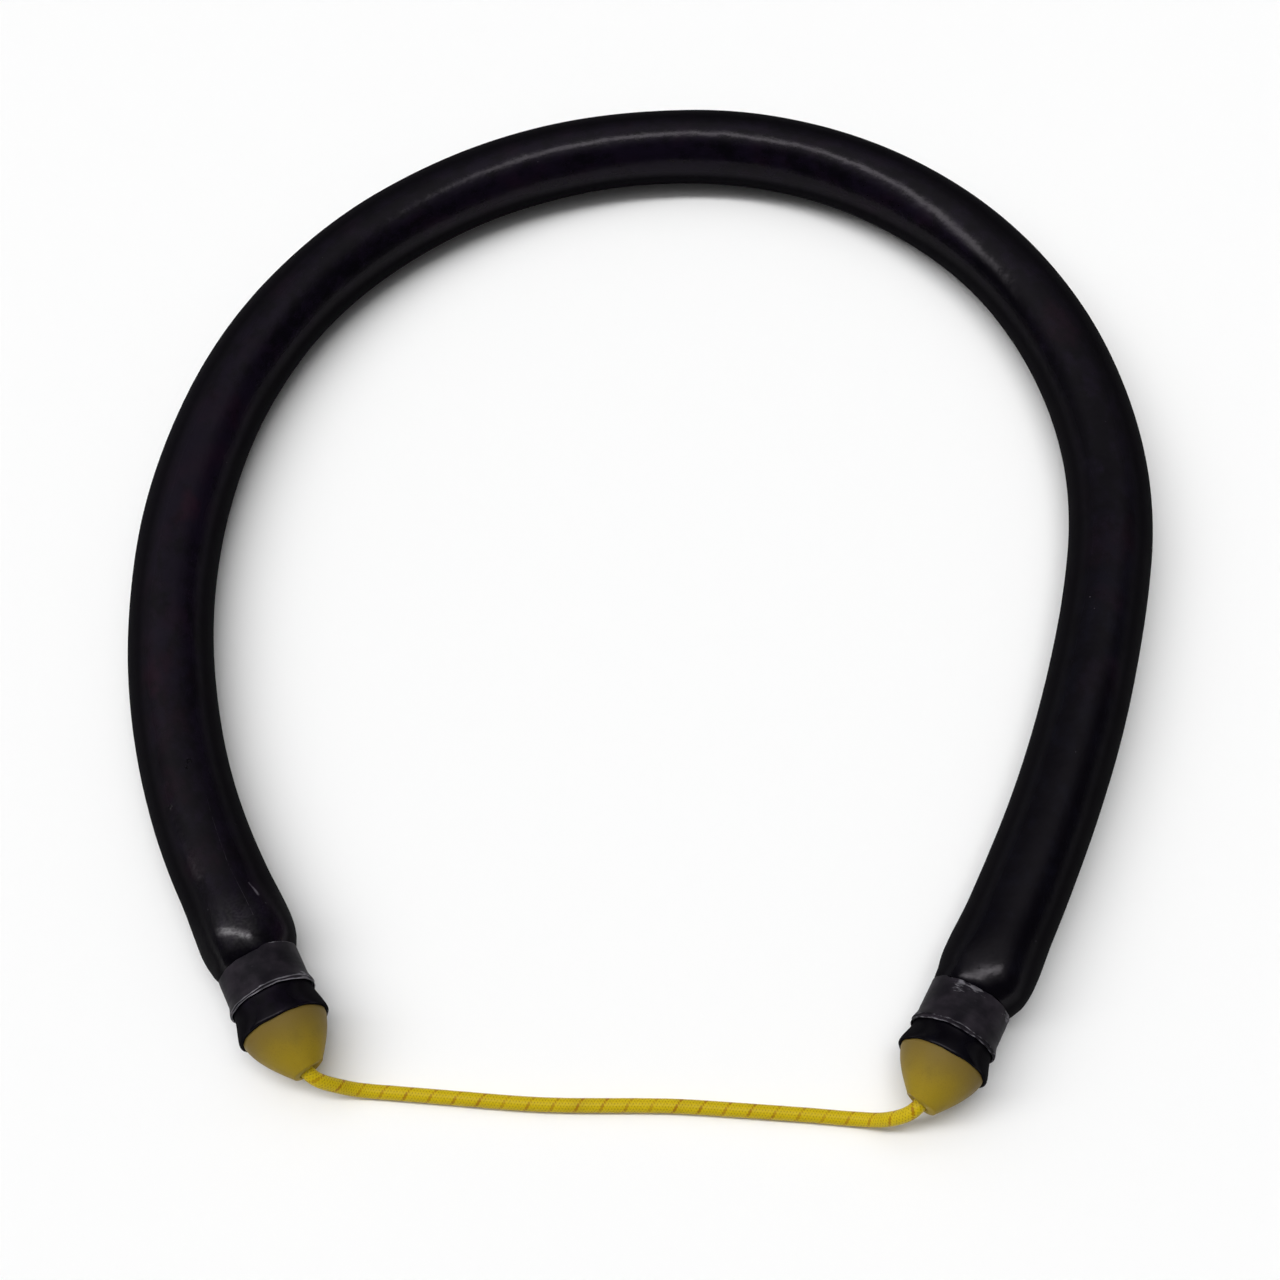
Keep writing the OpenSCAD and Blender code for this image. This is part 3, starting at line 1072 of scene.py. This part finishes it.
@dataclass
class Plug:
    """A moulded plug: nose, rim, groove under the twine, barb and tail, with the cord's channel.

    The channel follows the cord, which turns off inward and down, so the nose closes round the
    cord and is cut back on that side.
    """

    loop: Loop
    side: Side
    nose_radius: float = 0.0029
    nose_overlap: float = 0.0002
    fullness: float = 0.55
    rim: float = 0.0074
    rim_span: tuple[float, float] = (0.0004, 0.0015)
    groove: float = 0.0036
    groove_span: tuple[float, float] = (0.0075, 0.012)
    barb: float = 0.00575
    barb_span: tuple[float, float] = (0.014, 0.017)
    tail: float = 0.0046
    tail_end: float = 0.020
    hole: float = 0.0015
    channel: float = 0.00136
    inset: float = 0.003
    cut_back: float = 0.0013
    cut_way: float = math.radians(205)
    seam: float = 0.00004
    edge_bulge: float = 0.16
    widest_edge: float = 0.0016
    points_round: int = 96
    rings: tuple[int, int, int] = (40, 9, 12)

    def cord_offsets(self, line: np.ndarray) -> tuple[np.ndarray, np.ndarray]:
        """Where the cord lies beside the plug's axis.

        Args:
            line: Points of the cord's middle line.

        Returns:
            Distances past the lip, all below 0, and the cord's offsets outward and up there.
        """
        start, way = (np.array(v) for v in self.loop.tip(self.side, 0.0))
        out = self.loop.sample(self.loop.at(self.side, np.array([0.0])))[1][0]
        first, last = (np.linalg.norm(line[n] - start) for n in (0, -1))
        near = line if first < last else line[::-1]
        apart = near[: int(0.3 * len(near))] - start
        return -(apart @ way), np.stack([apart @ out, apart[:, 2]], 1)

    def channel_wall(self, t: np.ndarray, angles: np.ndarray, line: np.ndarray) -> np.ndarray:
        """The wall of the cord's channel.

        Args:
            t: Distances past the lip, one for each angle.
            angles: Angles round the cord.
            line: Points of the cord's middle line.

        Returns:
            Offsets outward and up, one pair for each angle.
        """
        t_cord, beside = self.cord_offsets(line)
        order = np.argsort(t_cord)
        ways = np.gradient(beside, axis=0) / np.gradient(t_cord)[:, None]
        centre, tilt = (
            np.stack([np.interp(t, t_cord[order], v[order, k]) for k in (0, 1)], -1)
            for v in (beside, ways)
        )
        steep = np.linalg.norm(tilt, axis=-1, keepdims=True)
        unit = tilt / np.maximum(steep, 1e-9)
        spoke = spokes(angles)
        longer = (spoke * unit).sum(-1, keepdims=True) * (np.sqrt(1 + steep**2) - 1)
        return centre + self.channel * (spoke + longer * unit)

    def nose(self, tip: np.ndarray, angles: np.ndarray) -> tuple[np.ndarray, np.ndarray]:
        """The nose, from the lip to its tip.

        Args:
            tip: Distance of the tip past the lip at each angle.
            angles: Angles round the plug.

        Returns:
            Distances, rings by points, and offsets outward and up.
        """
        share = np.linspace(1, 0, self.rings[0])[:, None]
        t = tip * (1 - share) - self.nose_overlap * share
        full = self.fullness * np.sin(share * math.pi / 2) + (1 - self.fullness) * share
        seam = self.seam * np.exp(-((np.sin(angles - 0.35) / 0.035) ** 2))
        radii = self.nose_radius + (self.rim - self.nose_radius) * full + seam
        offsets = radii[..., None] * spokes(angles)
        offsets[..., 0] -= ENDS[self.side].nose_lean * (1 - share) ** 1.5
        return t, offsets

    def build(self, material: bpy.types.Material, line: np.ndarray) -> bpy.types.Object:
        """Builds the plug.

        Args:
            material: Its nylon.
            line: Points of the cord's middle line.

        Returns:
            The object.
        """
        angles = ring_angles(self.points_round, -math.pi / 2)
        toward_cut = 0.5 + 0.5 * np.cos(angles - self.cut_way)
        tip = -ENDS[self.side].nose + self.cut_back * toward_cut**2
        t_nose, nose = self.nose(tip, angles)
        wall = self.channel_wall(tip, angles, line)
        rounding = np.linspace(0, 1, self.rings[1])[1:-1, None] * math.pi
        width = np.minimum(np.linalg.norm(nose[-1] - wall, axis=-1), self.widest_edge)
        t_edge = tip - self.edge_bulge * width * np.sin(rounding) ** 0.6
        across = (0.5 - 0.5 * np.cos(rounding))[..., None]
        edge = nose[-1] * (1 - across) + wall * across
        depth = np.linspace(0, 1, self.rings[2])[:, None]
        t_wall = tip + (self.inset + 0.0003 - self.loop.nose - tip) * depth
        walls = np.stack([self.channel_wall(row, angles, line) for row in t_wall])
        rest = np.array(
            [(0.0, self.hole), (self.tail_end, self.hole), (self.tail_end, self.tail)]
            + [(at, self.barb) for at in self.barb_span[::-1]]
            + [(at, self.groove) for at in self.groove_span[::-1]]
            + [(at, self.rim) for at in self.rim_span[::-1]]
        )
        t_rest = np.repeat(rest[:, :1], len(angles), 1)
        offsets = np.concatenate([nose, edge, walls, rest[:, 1, None, None] * spokes(angles)])
        t = np.concatenate([t_nose, t_edge, t_wall, t_rest])
        outward, up = offsets[..., 0], offsets[..., 1]
        s = self.loop.at(self.side, t)
        grid = self.loop.sweep(s, np.hypot(outward, up), np.arctan2(up, outward), False)
        stores = {"lay": laid_straight(t, offsets)}
        piece = skin(f"{self.side.value}_moulded_plug", grid, True, stores)
        dress(piece, material)
        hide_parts(f"{self.side.value}_plug")
        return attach(piece, Body.BRIDLE.value)


@dataclass
class Binding:
    """Tape wound over the twine in a tube's neck, with its layers a little out of line."""

    loop: Loop
    side: Side
    turns: float = 2.62
    tape: float = 0.00018
    air: float = 0.00001
    step: float = 0.00034
    step_span: Span = (1.50, 1.64, 2.6, 4.2)
    edge_radius: float = 0.00716
    neck_radius: float = 0.00666
    narrowing: float = 0.0024
    low_waves: Waves = ((0.00007, 3, 0.6), (0.00006, 7.3, 1.0), (0.00003, 17, 0.0))
    high_waves: Waves = ((0.00007, 2, 2.0), (0.00006, 6.1, 0.0), (0.00003, 15, 1.0))
    ridge: float = 0.00001
    ridge_spacing: float = 0.0009
    fray: float = 0.74
    steps_per_turn: int = 130

    def inner(self, t: np.ndarray) -> np.ndarray:
        """Radius of what the tape is wound on, at distances from the lip."""
        share = 1 - ease(t - ENDS[self.side].collar_at, 0, self.narrowing)
        return self.neck_radius + (self.edge_radius - self.neck_radius) * share

    def build(self, material: bpy.types.Material) -> bpy.types.Object:
        """Builds the winding.

        Args:
            material: Its tape.

        Returns:
            The object.
        """
        end = ENDS[self.side]
        corner = np.array([-1, -0.997, -0.985])
        across = np.concatenate([corner, np.linspace(-0.95, 0.95, 38), -corner[::-1]])
        top = np.ones(len(across))
        top[[0, -1]], top[[1, -2]] = 0.72, 0.93
        outer, inner = (np.column_stack([across, height]) for height in (top, 1 - top))
        section = np.vstack([outer, inner[::-1]])
        angle = np.linspace(0, 2 * math.pi * self.turns, int(self.steps_per_turn * self.turns))
        wound = angle / (2 * math.pi)
        place = end.tape_end + angle - angle[-1]
        past = np.mod(place - end.step_at + math.pi / 2, 2 * math.pi)
        stepped = self.step * window(past, *self.step_span)
        shift = end.tape_drift * np.cos(math.pi * (wound - 0.15) * 0.9)
        lowest = end.tape_low + shift + ripple(place, self.low_waves)
        highest = end.tape_high + shift + ripple(place, self.high_waves) + stepped
        share = (section[:, 0] + 1) / 2
        t = lowest[:, None] + (highest - lowest)[:, None] * share
        t = np.clip(t, end.collar_at - 0.0003, end.bulge_start + 0.0008)
        layer = wound * (self.tape + self.air)
        radii = self.inner(t) + layer[:, None] + self.tape * section[:, 1]
        middle = (end.tape_low + end.tape_high) / 2
        ridge = self.ridge * np.cos((t - middle) / self.ridge_spacing * 2 * math.pi)
        radii = radii + ridge * ease(-np.abs(t - middle), -0.0022, -0.0012)
        rounds = np.repeat(place[:, None], len(section), 1)
        grid = self.loop.sweep(self.loop.at(self.side, t), radii, rounds, False)
        low_side = section[:, 0] < 0
        edge = ease(np.abs(section[:, 0]), np.where(low_side, 0.90, 0.94), 0.99)
        edge = edge * np.where(low_side, *end.rubbing) * np.ones((len(angle), 1))
        for at, wide, side, reach in end.frays:
            apart = np.mod(place - at + math.pi, 2 * math.pi) - math.pi
            across_it = ease(section[:, 0] * side, 1 - 2 * reach, 1 - 0.5 * reach)
            fray = self.fray * np.exp(-((apart / wide) ** 2))[:, None]
            edge = np.maximum(edge, fray * across_it)
        lay = np.stack([rounds * self.neck_radius, t, layer[:, None] + 0 * t], -1)
        piece = skin(f"{self.side.value}_wound_tape", grid, False, {"lay": lay, "edge": edge})
        dress(piece, material)
        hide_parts(f"{self.side.value}_binding_tape")
        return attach(piece, Body.BRIDLE.value)


@dataclass
class BridleCord:
    """The elastic cord: a braided sleeve that follows one smooth route from plug to plug."""

    loop: Loop
    radius: float = 0.00125
    inset: float = 0.003
    pitch: float = 0.0042
    strands: int = 8
    relief: float = 0.00005
    spacing: float = 0.00012
    smoothing: float = 0.0011
    points_round: int = 64
    route: tuple[Place, ...] = (
        (-0.0586, -0.1050, 0.0083), (-0.0575, -0.1061, 0.0078), (-0.0563, -0.1068, 0.0070),
        (-0.0548, -0.1070, 0.0058), (-0.0530, -0.1070, 0.0042), (-0.0513, -0.1070, 0.0028),
        (-0.0495, -0.1070, 0.0018), (-0.0470, -0.1071, 0.0013), (-0.0420, -0.1075, 0.0013),
        (-0.0360, -0.1080, 0.0013), (-0.0300, -0.1085, 0.0013), (-0.0240, -0.1090, 0.0013),
        (-0.0170, -0.1094, 0.0013), (-0.0100, -0.1095, 0.0013), (-0.0030, -0.1095, 0.0013),
        (0.0040, -0.1096, 0.0013), (0.0110, -0.1100, 0.0013), (0.0180, -0.1105, 0.0013),
        (0.0250, -0.1110, 0.0013), (0.0310, -0.1115, 0.0013), (0.0340, -0.1118, 0.0014),
        (0.0366, -0.1121, 0.0019), (0.0384, -0.1125, 0.0028), (0.0402, -0.1128, 0.0043),
        (0.0419, -0.1129, 0.0058), (0.0434, -0.1127, 0.0070), (0.0446, -0.1121, 0.0078),
        (0.0457, -0.1110, 0.0083),
    )

    def line(self) -> np.ndarray:
        """The cord's middle line: the route, smoothed until no bend is sharp.

        Returns:
            Points, evenly spaced.
        """
        (first, way_first), (last, way_last) = (
            self.loop.tip(side, self.inset - self.loop.nose) for side in Side
        )
        points = np.array([first, *self.route, last])
        ways = np.array([way_first, -way_last])
        gaps = np.linalg.norm(np.diff(points, axis=0), axis=1)
        at = np.concatenate([[0], np.cumsum(gaps)])
        count = len(points)
        system, right = np.zeros((count, count)), np.zeros((count, 3))
        system[0, 0] = system[-1, -1] = 1
        right[0], right[-1] = ways
        for n in range(1, count - 1):
            before, after = gaps[n - 1], gaps[n]
            come, go = points[n] - points[n - 1], points[n + 1] - points[n]
            system[n, n - 1 : n + 2] = after, 2 * (before + after), before
            right[n] = 3 * (after * come / before + before * go / after)
        slopes = np.linalg.solve(system, right)
        u = np.linspace(0, at[-1], 3000)
        n = np.clip(np.searchsorted(at, u, side="right") - 1, 0, count - 2)
        x, h = ((u - at[n]) / gaps[n])[:, None], gaps[n][:, None]
        curve = (
            (2 * x**3 - 3 * x**2 + 1) * points[n] + (x**3 - 2 * x**2 + x) * h * slopes[n]
            + (3 * x**2 - 2 * x**3) * points[n + 1] + (x**3 - x**2) * h * slopes[n + 1]
        )
        return self.even(self.softened(self.even(curve), ways))

    def even(self, line: np.ndarray) -> np.ndarray:
        """The same line with evenly spaced points.

        Args:
            line: Points.

        Returns:
            Points, spaced as the braid's rings are.
        """
        along = np.concatenate([[0], np.cumsum(np.linalg.norm(np.diff(line, axis=0), axis=1))])
        at = np.linspace(0, along[-1], round(along[-1] / self.spacing) + 1)
        return np.stack([np.interp(at, along, line[:, k]) for k in range(3)], 1)

    def softened(self, line: np.ndarray, ways: np.ndarray) -> np.ndarray:
        """The line averaged over a short length, with its two ends led straight into the plugs.

        Args:
            line: Evenly spaced points.
            ways: The way that the line leaves its first point, and the way it reaches its last.

        Returns:
            As many points.
        """
        reach = int(4 * self.smoothing / self.spacing)
        steps = np.arange(1, reach + 1)[:, None] * self.spacing
        led = np.vstack([line[0] - ways[0] * steps[::-1], line, line[-1] + ways[1] * steps])
        apart = np.arange(-reach, reach + 1) * self.spacing / self.smoothing
        weights = np.exp(-0.5 * apart**2)
        weights /= weights.sum()
        return np.stack([np.convolve(led[:, k], weights, mode="valid") for k in range(3)], 1)

    def braid(self, along: np.ndarray, angles: np.ndarray) -> tuple[np.ndarray, np.ndarray]:
        """The braid's surface: two sets of strands that pass over and under each other in pairs.

        Args:
            along: Distances along the cord.
            angles: Angles round it.

        Returns:
            Heights from 0 to 1, and 1 where the tracer strand shows, both rings by points.
        """
        turns = along[:, None] / self.pitch
        share = angles[None, :] / (2 * math.pi)
        first, second = self.strands * (turns - share), self.strands * (turns + share)
        lobes = [1 - (2 * (x - np.floor(x)) - 1) ** 2 for x in (first, second)]
        over = 0.5 + 0.5 * np.cos(2 * math.pi * (second + np.floor(first)) / 4)
        heights = [lobes[0] * (0.5 + 0.5 * over), lobes[1] * (1 - 0.5 * over)]
        shown = ease(heights[0] - heights[1], -0.50, -0.10)
        tracer = (np.mod(np.floor(first), self.strands) == 0) * shown * ease(lobes[0], 0.0, 0.25)
        return np.maximum(*heights), tracer

    def build(self, material: bpy.types.Material, line: np.ndarray) -> bpy.types.Object:
        """Builds the cord.

        Args:
            material: Its braid.
            line: Points of its middle line.

        Returns:
            The object.
        """
        ways = np.gradient(line, axis=0)
        ways /= np.linalg.norm(ways, axis=1)[:, None]
        up = np.array([0.0, 0.0, 1.0]) - ways[0] * ways[0, 2]
        ups = np.zeros_like(line)
        for n, way in enumerate(ways):
            up = up - way * (up @ way)
            up /= np.linalg.norm(up)
            ups[n] = up
        lefts = np.cross(ups, ways)
        angles = ring_angles(self.points_round)
        along = np.arange(len(line)) * self.spacing
        height, tracer = self.braid(along, angles)
        radii = self.radius - self.relief * (1 - height)
        spoke = spokes(angles)
        turned = ups[:, None] * spoke[None, :, :1] + lefts[:, None] * spoke[None, :, 1:]
        grid = line[:, None] + radii[..., None] * turned
        lay = laid_straight(along[:, None], radii[..., None] * spoke)
        # height also paints shade into the braid's grooves through the cord's material
        stores = {"lay": lay, "height": height, "tracer": tracer}
        piece = skin("bridle_braid", grid, False, stores)
        dress(piece, material)
        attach(piece, Body.BRIDLE.value)
        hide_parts("bridle_cord")
        return piece


@dataclass
class HiddenPieces:
    """The twine and the knotted cord ends, which stay as the part has them and get a finish."""

    twine: Finish = ThreadFinish("waxed_twine_inside", tone(60, 52, 40), tone(28, 24, 20))
    ends: Finish = ThreadFinish("elastic_cord_inside", tone(206, 184, 46), tone(150, 122, 18))

    def build(self) -> list[bpy.types.Object]:
        """Dresses the pieces.

        Returns:
            The pieces.
        """
        found = []
        kinds = ((self.twine, Slot.TWINE, "ligature"), (self.ends, Slot.CORD, "cord_end"))
        for finish, slot, name in kinds:
            material = finish.material()
            for side in Side:
                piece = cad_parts[f"{side.value}_{name}"]
                for place in piece.material_slots:
                    place.material = material
                found.append(piece)
        return found


@dataclass(frozen=True)
class SoftBox:
    """Soft light from part of the sky, to the right and to the back.

    Each way it starts, is full, begins to fade and ends at these parts of the whole.
    """

    right: Span
    back: Span
    strength: float

    def glow(self, graph: Graph, way: Wire) -> Wire:
        """Its light.

        Args:
            graph: The world's graph.
            way: The way into the sky.

        Returns:
            The strength there.
        """
        found: Wire | float = self.strength
        for axis, (low, full, last, high) in (("X", self.right), ("Y", self.back)):
            at = graph.part(way, axis)
            found = at.rise(low, full) * at.rise(high, last) * found
        return found


@dataclass
class Studio:
    """The camera, a pale floor and soft light from above, with a dim room round it."""

    camera_at: Place = (-0.001586, -0.20653, 0.32852)
    camera_tilt: float = 30.0
    lens: float = 54.6
    strip: SoftBox = SoftBox((-0.94, -0.67, 0.20, 0.42), (-0.15, -0.07, 0.00, 0.08), 10.5)
    halo: SoftBox = SoftBox((-1.0, -0.5, 0.15, 0.80), (-0.58, -0.10, 0.25, 0.92), 0.95)
    band_heights: tuple[float, float] = (0.10, 0.02)
    room: float = 0.10
    floor_half: float = 6.0
    floor_drop: float = 0.0001

    def place_camera(self) -> None:
        """Sets the camera up."""
        data = bpy.data.cameras.new("camera")
        data.lens, data.sensor_width = self.lens, 36.0
        data.clip_start, data.clip_end = 0.01, 50
        camera = bpy.data.objects.new("camera", data)
        camera.location = self.camera_at
        camera.rotation_euler = (math.radians(self.camera_tilt), 0, 0)
        bpy.context.scene.collection.objects.link(camera)
        bpy.context.scene.camera = camera
        bpy.context.scene.view_settings.view_transform = "Standard"

    def lay_floor(self) -> bpy.types.Object:
        """Lays the floor.

        Returns:
            The floor.
        """
        mesh = bpy.data.meshes.new("floor")
        half, drop = self.floor_half, self.floor_drop
        corners = [(x * half, y * half, -drop) for x, y in ((-1, -1), (1, -1), (1, 1), (-1, 1))]
        mesh.from_pydata(corners, [], [(0, 1, 2, 3)])
        floor = bpy.data.objects.new("floor", mesh)
        bpy.context.scene.collection.objects.link(floor)
        mesh.materials.append(FloorFinish().material())
        return floor

    def light(self) -> None:
        """Lights the world: a strip overhead, its wide halo, a dim room and pale low walls."""
        world = bpy.data.worlds.new("studio")
        bpy.context.scene.world = world
        world.use_nodes = True
        g = Graph(world.node_tree)
        way = g.node("ShaderNodeTexCoord", None, None, "Generated")
        walls = g.part(way, "Z").rise(*self.band_heights)
        strength = (self.strip.glow(g, way) + self.halo.glow(g, way) + self.room).most(walls)
        shade = g.node("ShaderNodeBackground", None, {"Color": (1, 1, 1, 1), "Strength": strength})
        g.finish("ShaderNodeOutputWorld", shade)


def report(kind: str, piece: bpy.types.Object) -> None:
    """Logs a finished piece."""
    log.info("%s: %s, %d faces", kind, piece.name, len(piece.data.polygons))


def main() -> None:
    """Builds every piece and reports it."""
    logging.basicConfig(level=logging.INFO, format="%(message)s")
    loop = Loop()
    studio = Studio()
    studio.place_camera()
    bridle = BridleCord(loop)
    line = bridle.line()
    report("cord", bridle.build(CordFinish().material(), line))
    report("tube", Tube(loop).build(RubberFinish().material()))
    nylon, tape = NylonFinish().material(), TapeFinish().material()
    for side in Side:
        report("plug", Plug(loop, side).build(nylon, line))
        report("tape", Binding(loop, side).build(tape))
    for piece in HiddenPieces().build():
        report("inside", piece)
    report("stage", studio.lay_floor())
    studio.light()


if __name__ == "__main__":
    main()
